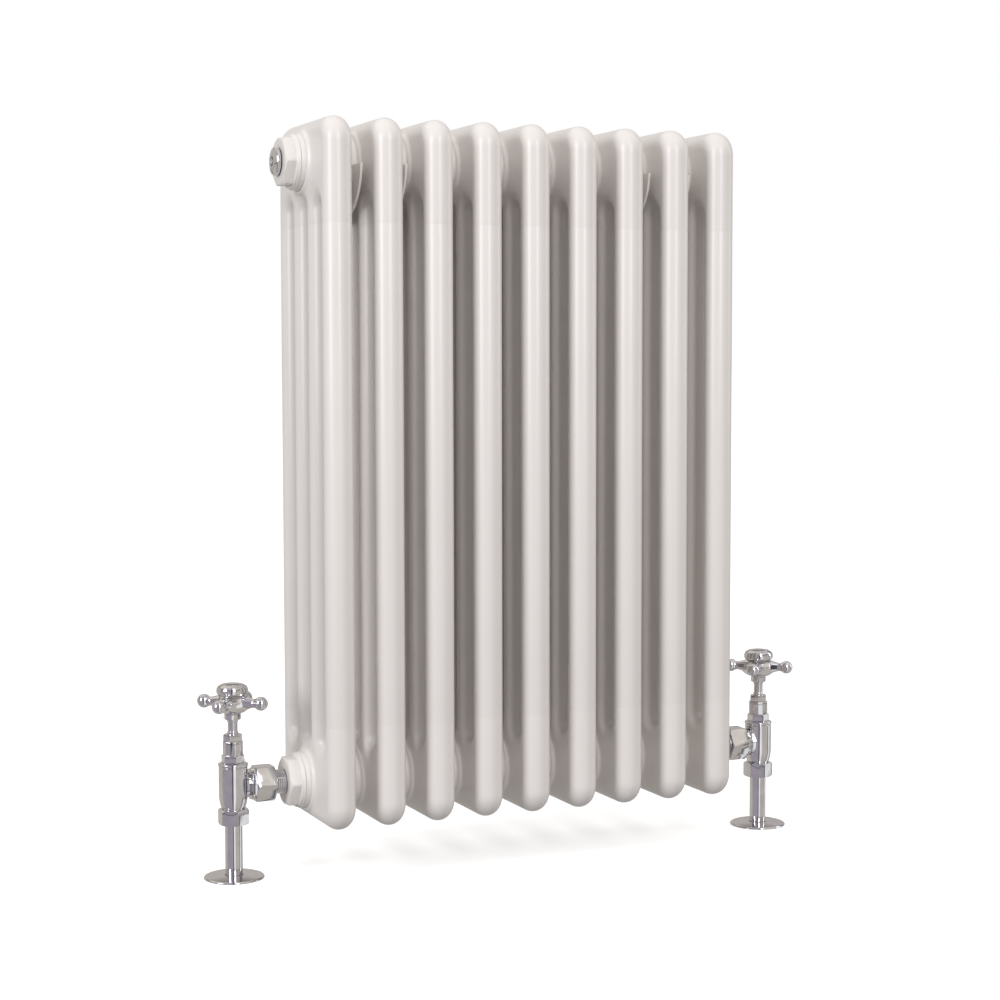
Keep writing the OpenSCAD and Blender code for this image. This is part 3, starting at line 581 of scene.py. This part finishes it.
def vent():
    body = turned(plug_outline(BLEED_R + 0.15 * MM, 0.5 * MM), 96)
    outlet_r, outlet_at = 0.85 * MM, 9.2 * MM
    drill = turned([(0, 2 * MM, 0), (outlet_r, 2 * MM, 0), (outlet_r, 9 * MM, 0), (0, 9 * MM, 0)], 20)
    moved(drill, Matrix.Translation((outlet_at, 0, 0)))
    body = fused(body, drill, how="DIFFERENCE")
    piece("vent_body_domed", moved(body, at_bush_face("left", Z_TAP_HIGH)), CHROME, "root", "vent_body")
    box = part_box("vent_screw")
    outer = box[0][0] + X_BUSH_END
    shank = turned([(0, 0.6 * MM, 0), (BLEED_R, 0.6 * MM, 0.2 * MM), (BLEED_R, 1.9 * MM, 0.5 * MM),
                    (0, 1.9 * MM, 0)], 48)
    square = nut(5 * MM, -outer - 1.8 * MM, 0.05 * MM, 0.6 * MM, 0, sides=4, turn=math.pi / 4,
                 blank_r=3.3 * MM, ease=0.25 * MM)
    raised(square, 1.8 * MM)
    whole = moved(joined(shank, square), at_bush_face("left", Z_TAP_HIGH))
    piece("vent_screw_square", whole, CHROME, "bleed_screw", "vent_screw")


def plug():
    body = turned(plug_outline(5.9 * MM, 0.6 * MM), 96)
    socket = nut(10 * MM, 7 * MM, 0.05 * MM, 0, 0, ease=0.1 * MM)
    raised(socket, 0.61 * MM)
    blank = turned([
        (0, 0.55 * MM, 0), (6 * MM, 0.55 * MM, 0), (6 * MM, 5.6 * MM, 0.3 * MM), (0, 5.6 * MM, 0),
    ], 48)
    insert = fused(blank, socket, how="DIFFERENCE")
    whole = moved(joined(body, insert), at_bush_face("right", Z_TAP_HIGH))
    piece("blanking_plug_domed", whole, CHROME, "root", "blanking_plug")


def plug_seal(node, side):
    r, thick = 10.5 * MM, 0.9 * MM
    count = 12
    corners = []
    for k in range(count):
        a = 2 * math.pi * k / count
        corners.append((r + thick * math.cos(a), thick + thick * math.sin(a), 0))
    piece(f"{node}_ring", moved(turned(corners, 72), at_bush_face(side, Z_TAP_HIGH)), BLACK_RUBBER,
          "root", node)


# ---------------------------------------------------------------- valves
def valve_body(side):
    r, lip_r, top = 12.3 * MM, 12.8 * MM, 19.2 * MM
    low, spigot_low, spigot_r, bore_r = -20.2 * MM, -26.8 * MM, 9.8 * MM, 7.6 * MM
    bowl_h, bowl_curve, bowl_steps = 12.4 * MM, 31 * MM, 12
    bowl = []
    for n in range(bowl_steps + 1):
        down = bowl_h * (1 - n / bowl_steps)
        inset = bowl_curve - math.sqrt(bowl_curve ** 2 - down ** 2)
        bowl.append((r - inset, low + bowl_h - down, 0))
    shell = turned([
        (bore_r, spigot_low, 0), (spigot_r, spigot_low, 0.3 * MM), (spigot_r, low - 0.2 * MM, 0),
        (spigot_r - 0.4 * MM, low - 0.2 * MM, 0), (spigot_r - 0.4 * MM, low, 0), *bowl,
        (r, top - 3.4 * MM, 0), (r - 0.35 * MM, top - 3 * MM, 0.2 * MM),
        (r - 0.35 * MM, top - 2.5 * MM, 0.2 * MM), (lip_r, top - 2 * MM, 0.3 * MM),
        (lip_r, top, 0.5 * MM), (8.3 * MM, top, 0.2 * MM), (8.3 * MM, 11 * MM, 0),
        (7.8 * MM, 11 * MM, 0), (7.8 * MM, -7 * MM, 0), (5 * MM, -7 * MM, 0),
        (5 * MM, -11 * MM, 0), (bore_r, -11 * MM, 0),
    ], 96)
    branch = turned([
        (6.5 * MM, 9 * MM, 0), (12.2 * MM, 9 * MM, 0), (11.4 * MM, 11.6 * MM, 1 * MM),
        (10.3 * MM, 13.2 * MM, 1 * MM), (10.3 * MM, 14.5 * MM, 0), (12.1 * MM, 14.7 * MM, 0),
        (12.1 * MM, 25.5 * MM, 0.4 * MM), (6.5 * MM, 25.5 * MM, 0),
    ], 72)
    moved(branch, ALONG_BRANCH)
    way = turned([(0, 0, 0), (6.5 * MM, 0, 0), (6.5 * MM, 30 * MM, 0), (0, 30 * MM, 0)], 48)
    moved(way, ALONG_BRANCH)
    whole = fused(fused(shell, branch), way, how="DIFFERENCE")
    piece(f"{side}_valve_body_turned", moved(whole, at_valve(side)), CHROME, "root",
          f"{side}_valve_body")


def union_nut(side):
    at, length, af = 14.5 * MM, 20.5 * MM, 29 * MM
    hexagon = nut(af, length - 3.4 * MM, 10.6 * MM, 1.4 * MM, 1.6 * MM, turn=0, ease=0.4 * MM)
    raised(hexagon, 3.4 * MM)
    collar = turned([
        (12.2 * MM, 0, 0.2 * MM), (13.2 * MM, 0, 0.6 * MM), (13.9 * MM, 3.2 * MM, 0.8 * MM),
        (13.4 * MM, 4.2 * MM, 0), (12.2 * MM, 4.2 * MM, 0),
    ], 96)
    whole = joined(hexagon, collar)
    place = at_valve(side) @ ALONG_BRANCH @ Matrix.Translation((0, 0, at))
    piece(f"{side}_union_nut_milled", moved(whole, place), CHROME, "root", f"{side}_union_nut")


def screw_thread(core_r, crest_r, pitch, start_z, end_z):
    """A helical ridge for a core to carry, swept by a screwing spin."""
    turns = (end_z - start_z) / pitch
    per_turn = 48
    bm = bmesh.new()
    tooth = [(core_r - 0.2 * MM, -0.46), (crest_r, -0.08), (crest_r, 0.08), (core_r - 0.2 * MM, 0.46)]
    verts = [bm.verts.new((r, 0, start_z + share * pitch)) for r, share in tooth]
    edges = [bm.edges.new(pair) for pair in zip(verts, verts[1:] + verts[:1])]
    steps = int(turns * per_turn)
    swept = bmesh.ops.spin(bm, geom=verts + edges, cent=(0, 0, 0), axis=(0, 0, 1),
                           dvec=(0, 0, pitch / per_turn), angle=2 * math.pi * steps / per_turn,
                           steps=steps, use_merge=False, use_duplicate=False)
    last = [e for e in swept["geom_last"] if isinstance(e, bmesh.types.BMEdge)]
    bmesh.ops.edgeloop_fill(bm, edges=edges)
    bmesh.ops.edgeloop_fill(bm, edges=last)
    bmesh.ops.recalc_face_normals(bm, faces=bm.faces[:])
    return bm


def tail(side):
    root_r, crest_r, collar_r, bore_r = 9.9 * MM, 10.45 * MM, 12.1 * MM, 6.5 * MM
    core = turned([
        (bore_r, 25.6 * MM, 0), (collar_r, 25.6 * MM, 0.3 * MM), (collar_r, 30.4 * MM, 0.3 * MM),
        (root_r, 30.4 * MM, 0), (root_r, 57.6 * MM, 0.6 * MM), (bore_r, 57.6 * MM, 0),
    ], 72)
    thread = screw_thread(root_r, crest_r, 1.8 * MM, 34 * MM, 56 * MM)
    place = at_valve(side) @ ALONG_BRANCH
    piece(f"{side}_tail_threaded", moved(joined(core, thread), place), CHROME, "root", f"{side}_tail")


def compression_nut(side):
    low, length = -33.4 * MM, 13.2 * MM
    hexagon = nut(23.6 * MM, length, 7.62 * MM, 1.5 * MM, 1.5 * MM, ease=0.4 * MM)
    raised(hexagon, low)
    piece(f"{side}_compression_nut_milled", moved(hexagon, at_valve(side)), CHROME, "root",
          f"{side}_compression_nut")


def bonnet(side):
    base, hex_h, barrel_h = 19.2 * MM, 7.3 * MM, 12.3 * MM
    spindle_r = 4.85 * MM
    thread = turned([(spindle_r, -8 * MM, 0), (8.2 * MM, -8 * MM, 0.4 * MM), (8.2 * MM, 0.2 * MM, 0),
                     (spindle_r, 0.2 * MM, 0)], 60)
    hexagon = nut(17.6 * MM, hex_h, spindle_r, 1.2 * MM, 0.5 * MM, ease=0.3 * MM)
    barrel = nut(17.0 * MM, barrel_h, spindle_r, 1.3 * MM, 0, sides=12, turn=math.pi / 12,
                 blank_r=8.8 * MM, ease=0.25 * MM)
    raised(barrel, hex_h)
    whole = raised(joined(thread, hexagon, barrel), base)
    piece(f"{side}_bonnet_milled", moved(whole, at_valve(side)), CHROME, "root", f"{side}_bonnet")


def gland_nut(side):
    base = 38.8 * MM
    thread = turned([(4.85 * MM, -3.5 * MM, 0), (6.3 * MM, -3.5 * MM, 0), (6.3 * MM, 0.2 * MM, 0),
                     (4.85 * MM, 0.2 * MM, 0)], 48)
    hexagon = nut(14.6 * MM, 5.5 * MM, 4.85 * MM, 1.1 * MM, 0.5 * MM, turn=math.pi / 6, ease=0.3 * MM)
    whole = raised(joined(thread, hexagon), base)
    piece(f"{side}_gland_nut_milled", moved(whole, at_valve(side)), CHROME, "root", f"{side}_gland_nut")


def spindle(side):
    """Polished stem with a square end for the handle, waisted a little above the gland."""
    r = 4.7 * MM
    stem = turned([
        (2.65 * MM, -1.9 * MM, 0), (5.5 * MM, -1.9 * MM, 0.5 * MM), (5.5 * MM, 23.2 * MM, 0.5 * MM),
        (r, 23.8 * MM, 0), (r, 46.2 * MM, 0.3 * MM), (r - 0.5 * MM, 46.9 * MM, 0.3 * MM),
        (r - 0.5 * MM, 54.6 * MM, 0.3 * MM), (r, 55.4 * MM, 0.3 * MM), (r, 61.9 * MM, 0),
        (2.65 * MM, 61.9 * MM, 0),
    ], 72)
    square = nut(6.4 * MM, 12 * MM, 2.1 * MM, 0, 0, sides=4, ease=0.1 * MM)
    raised(square, 61.9 * MM)
    piece(f"{side}_spindle_polished", moved(joined(stem, square), at_valve(side)), CHROME,
          f"{side}_handle", f"{side}_spindle")


HANDLE_TURN = math.radians(49)


def crosshead(side):
    """Hub milled square between its four arms, each arm waisted and ending in a ball."""
    base, hub_h, ball_z = 63.4 * MM, 15.2 * MM, 71.6 * MM
    ball_r, reach = 6 * MM, 26.5 * MM
    bore_r = 4.75 * MM
    collar = nut(13.2 * MM, 7.1 * MM, bore_r, 0, 0.7 * MM, sides=8, ease=0.25 * MM, blank_r=7.1 * MM)
    raised(collar, 56.9 * MM)
    outline = [
        (bore_r, base, 0), (10.6 * MM, base, 0.5 * MM), (13.2 * MM, base + 1.9 * MM, 0.8 * MM),
        (15.2 * MM, base + 3.2 * MM, 0.8 * MM), (15.2 * MM, base + 9.4 * MM, 1 * MM),
        (12.2 * MM, base + hub_h, 0.2 * MM), (8.6 * MM, base + hub_h, 0),
        (8.6 * MM, base + hub_h - 4 * MM, 0), (bore_r, base + hub_h - 4 * MM, 0),
    ]
    across = 25.2 * MM
    hub = mill(turned(outline, 96), 4, across, HANDLE_TURN + math.pi / 4)
    mill(hub, 4, across, HANDLE_TURN + math.pi / 4, lean=math.radians(33), z=base + 9.0 * MM)
    ease_edges(hub, 0.45 * MM)
    arms = []
    ball_steps = 10
    for k in range(4):
        corners = [(0, 8 * MM, 0), (6.4 * MM, 8 * MM, 0), (5.7 * MM, 13.0 * MM, 2 * MM),
                   (3.8 * MM, 19.6 * MM, 5 * MM)]
        begin = math.asin(4.3 * MM / ball_r)
        for n in range(ball_steps + 1):
            a = begin + (math.pi - begin) * n / ball_steps
            r = 0 if n == ball_steps else ball_r * math.sin(a)
            corners.append((r, reach - ball_r * math.cos(a), 0))
        arm = turned(corners, 40)
        turn = Matrix.Rotation(HANDLE_TURN + k * math.pi / 2, 4, "Z")
        arms.append(moved(arm, turn @ Matrix.Translation((0, 0, ball_z)) @ ALONG_BRANCH))
    whole = joined(fused(hub, *arms), collar)
    piece(f"{side}_crosshead_cast", moved(whole, at_valve(side)), CHROME, f"{side}_handle",
          f"{side}_crosshead")


def handle_cap(side):
    base, height = 78.6 * MM, 9.5 * MM
    r = 13.6 * MM
    cap = turned([
        (0, -1 * MM, 0), (8.4 * MM, -1 * MM, 0), (8.4 * MM, 0, 0), (12.2 * MM, 0, 0.4 * MM),
        (r, 1.5 * MM, 1.4 * MM), (r - 0.1 * MM, 4.4 * MM, 3 * MM), (12.6 * MM, 6.8 * MM, 2.4 * MM),
        (10.2 * MM, height - 1.3 * MM, 1.2 * MM), (9.6 * MM, height - 1.25 * MM, 0.2 * MM),
        (9.3 * MM, height - 0.8 * MM, 0.3 * MM), (5 * MM, height - 0.1 * MM, 6 * MM), (0, height, 0),
    ], 96)
    piece(f"{side}_handle_cap_domed", moved(raised(cap, base), at_valve(side)), CHROME,
          f"{side}_handle", f"{side}_handle_cap")


def supply_pipe(side):
    top = Z_TAP - 11.05 * MM
    bore_r = 6.7 * MM
    wall = turned([
        (bore_r, 0, 0), (PIPE_R, 0, 0.2 * MM), (PIPE_R, top, 0.3 * MM), (bore_r, top, 0),
    ], 72)
    moved(wall, at_valve(side) @ Matrix.Translation((0, 0, -Z_TAP)))
    piece(f"{side}_supply_pipe_drawn", wall, CHROME, "root", f"{side}_supply_pipe")


def floor_plate(side):
    hole, rim, top = 7.9 * MM, 26 * MM, 3 * MM
    plate = turned([
        (hole, 0, 0), (rim - 0.3 * MM, 0, 0.2 * MM), (rim, 0.9 * MM, 0.6 * MM),
        (rim - 0.8 * MM, 1.9 * MM, 0.9 * MM), (9.4 * MM, top, 4 * MM), (hole, top, 0.5 * MM),
    ], 128)
    moved(plate, at_valve(side) @ Matrix.Translation((0, 0, -Z_TAP)))
    piece(f"{side}_floor_plate_spun", plate, CHROME, f"{side}_plate", f"{side}_floor_plate")


# ---------------------------------------------------------------- wall hooks and stay
def eased(node, material, width):
    """A copy of a CAD node's mesh whose sheared edges are broken and painted over."""
    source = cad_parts[node]
    bm = bmesh.new()
    bm.from_mesh(source.data)
    moved(bm, source.matrix_world)
    bmesh.ops.remove_doubles(bm, verts=bm.verts[:], dist=1e-6)
    bmesh.ops.dissolve_limit(bm, angle_limit=math.radians(1), verts=bm.verts[:], edges=bm.edges[:])
    ease_edges(bm, width)
    bmesh.ops.recalc_face_normals(bm, faces=bm.faces[:])
    piece(f"{node}_eased", bm, material, "root", node)


# ---------------------------------------------------------------- what stays as the CAD made it
KEPT = {"bush_seals": GREY_RUBBER, "vent_tip": PTFE}
for side in SIDES:
    KEPT[f"{side}_olive"] = BRASS
    KEPT[f"{side}_jumper"] = BRASS
    KEPT[f"{side}_jumper_washer"] = BLACK_RUBBER
    KEPT[f"{side}_gland_packing"] = PTFE
    KEPT[f"{side}_handle_screw"] = ZINC
for node, material in KEPT.items():
    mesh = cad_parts[node].data
    mesh.materials.clear()
    mesh.materials.append(material)

# ---------------------------------------------------------------- build
head_mesh = pressed_head()
for index in range(1, SECTIONS + 1):
    section(index, head_mesh)
necks("necks_top", Z_TAP_HIGH)
necks("necks_bottom", Z_TAP)
for side in SIDES:
    bush(f"bush_top_{side}", side, Z_TAP_HIGH)
    bush(f"bush_bottom_{side}", side, Z_TAP)
for node in ("bracket_left", "bracket_right", "lower_stay"):
    eased(node, WHITE, 0.5 * MM)
eased("stay_pad", GREY_RUBBER, 0.6 * MM)
vent()
plug()
plug_seal("vent_seal", "left")
plug_seal("blanking_seal", "right")
for side in SIDES:
    for make in (valve_body, union_nut, tail, compression_nut, bonnet, gland_nut, spindle,
                 crosshead, handle_cap, supply_pipe, floor_plate):
        make(side)

# ---------------------------------------------------------------- floor and light
def studio():
    """Pale floor, and a bright tent that shows its dark gaps only in reflections."""
    floor_bm = bmesh.new()
    bmesh.ops.create_grid(floor_bm, x_segments=1, y_segments=1, size=40)
    floor = as_object("floor", floor_bm)
    material, tree, shader, place = start("floor_pale")
    tone = ramp(tree, noise(tree, place, 400, 2), [(0.3, colour("F4F4F4")), (0.7, colour("F8F8F7"))])
    tree.links.new(tone, shader.inputs["Base Color"])
    shader.inputs["Roughness"].default_value = 0.9
    shader.inputs["Specular IOR Level"].default_value = 0.2
    shader.inputs["Emission Color"].default_value = grey(1.0)
    shader.inputs["Emission Strength"].default_value = 0.46
    floor.data.materials.append(material)
    floor.visible_glossy = False
    floor.visible_diffuse = False
    world = bpy.data.worlds.new("tent")
    bpy.context.scene.world = world
    world.use_nodes = True
    tree = world.node_tree
    way = add(tree, "ShaderNodeTexCoord").outputs["Generated"]
    parts = add(tree, "ShaderNodeSeparateXYZ", {"Vector": way}).outputs
    up = add(tree, "ShaderNodeMapRange", {"Value": parts["Z"], "From Min": -1.0}).outputs[0]
    rise = ramp(tree, up, [(0.0, grey(0.40)), (0.30, grey(0.34)), (0.46, grey(0.12)),
                           (0.52, grey(0.42)), (0.62, grey(0.46)), (0.66, grey(0.25)),
                           (0.85, grey(0.95))])
    side = add(tree, "ShaderNodeMapRange", {"Value": parts["X"], "From Min": -1.0}).outputs[0]
    width = ramp(tree, side, [(0.0, grey(0.75)), (0.4, grey(0.85)), (0.5, grey(1.0)),
                              (1.0, colour("FFF4EA"))])
    tent = add(tree, "ShaderNodeMix", {"Factor": 1.0, 6: rise, 7: width}, data_type="RGBA",
               blend_type="MULTIPLY").outputs[2]
    banded = bands(tree, parts, up)
    rays = add(tree, "ShaderNodeLightPath").outputs
    lit = add(tree, "ShaderNodeMix", {"Factor": rays["Is Glossy Ray"], 6: tent, 7: banded},
              data_type="RGBA").outputs[2]
    shown = add(tree, "ShaderNodeMix", {"Factor": rays["Is Camera Ray"], 6: lit, 7: grey(1.0)},
                data_type="RGBA").outputs[2]
    tree.links.new(shown, tree.nodes["Background"].inputs["Color"])


def bands(tree, parts, up):
    """What polished metal sees: upright white and dark strips round the room, by bearing in
    degrees from straight ahead, dimmed a little at the horizon and above the strips."""
    ahead = add(tree, "ShaderNodeMath", {0: parts["Y"], 1: -1.0}, operation="MULTIPLY").outputs[0]
    turn = add(tree, "ShaderNodeMath", {0: parts["X"], 1: ahead}, operation="ARCTAN2").outputs[0]
    share = add(tree, "ShaderNodeMapRange", {"Value": turn, "From Min": -math.pi, "From Max": math.pi})
    cool, warm = colour("B0A9B2"), colour("CFC8BF")
    strips = [(-180, warm), (-120, warm), (-100, cool), (-26, cool), (-21, grey(0.07)),
              (-16, grey(0.09)), (-11, grey(1.1)), (3, grey(1.1)), (8, warm), (60, warm),
              (70, grey(0.12)), (76, grey(1.0)), (92, grey(1.0)), (100, cool), (180, warm)]
    round_room = ramp(tree, share.outputs[0], [(0.5 + bearing / 360, c) for bearing, c in strips])
    height = ramp(tree, up, [(0.0, grey(0.9)), (0.40, grey(1.0)), (0.485, grey(0.95)),
                             (0.50, grey(0.35)), (0.52, grey(0.9)), (0.66, grey(1.0)),
                             (0.74, grey(0.4)), (0.80, grey(1.5)), (1.0, grey(1.3))])
    return add(tree, "ShaderNodeMix", {"Factor": 1.0, 6: round_room, 7: height}, data_type="RGBA",
               blend_type="MULTIPLY").outputs[2]


def soft_light(name, place, aim, width, height, power):
    light = bpy.data.lights.new(name, "AREA")
    light.shape = "RECTANGLE"
    light.size, light.size_y = width, height
    light.energy = power
    obj = bpy.data.objects.new(name, light)
    bpy.context.scene.collection.objects.link(obj)
    obj.location = place
    obj.rotation_euler = (Vector(aim) - Vector(place)).to_track_quat("-Z", "Y").to_euler()


studio()
target = (0, 0, 0.33)
soft_light("key", (-0.25, -3.2, 1.6), target, 0.5, 2.0, 37)
soft_light("left", (-3.0, -0.9, 1.3), target, 1.1, 1.8, 46)
soft_light("right", (3.0, -0.6, 1.1), target, 0.35, 1.8, 9)
scene = bpy.context.scene
scene.view_settings.view_transform = "Standard"
